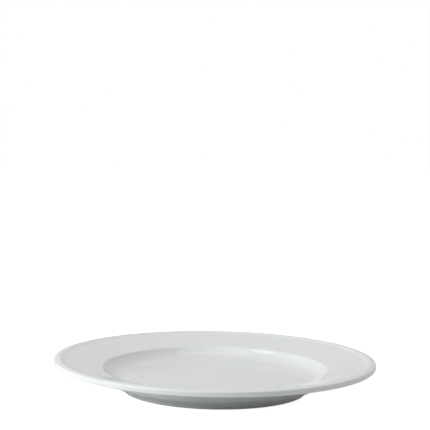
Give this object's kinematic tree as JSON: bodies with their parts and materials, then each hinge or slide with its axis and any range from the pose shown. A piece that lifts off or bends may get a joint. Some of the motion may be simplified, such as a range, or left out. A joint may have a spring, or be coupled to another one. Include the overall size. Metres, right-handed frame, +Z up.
{
  "type": "flat plate",
  "caption": "Round white porcelain plate with a rolled edge, a wide sloping rim, a shallow flat-floored well and a foot ring, for serving food at table.",
  "frame": {"origin": "centre of the foot ring's bearing face, on the table", "axes": "+Z up along the axis that the plate is turned about; X and Y lie in the table and are alike"},
  "size_m": [0.27, 0.27, 0.0274],
  "materials": {
    "glazed_porcelain": "gloss"
  },
  "bodies": {
    "root": {"plate": "glazed_porcelain"}
  },
  "joints": []
}
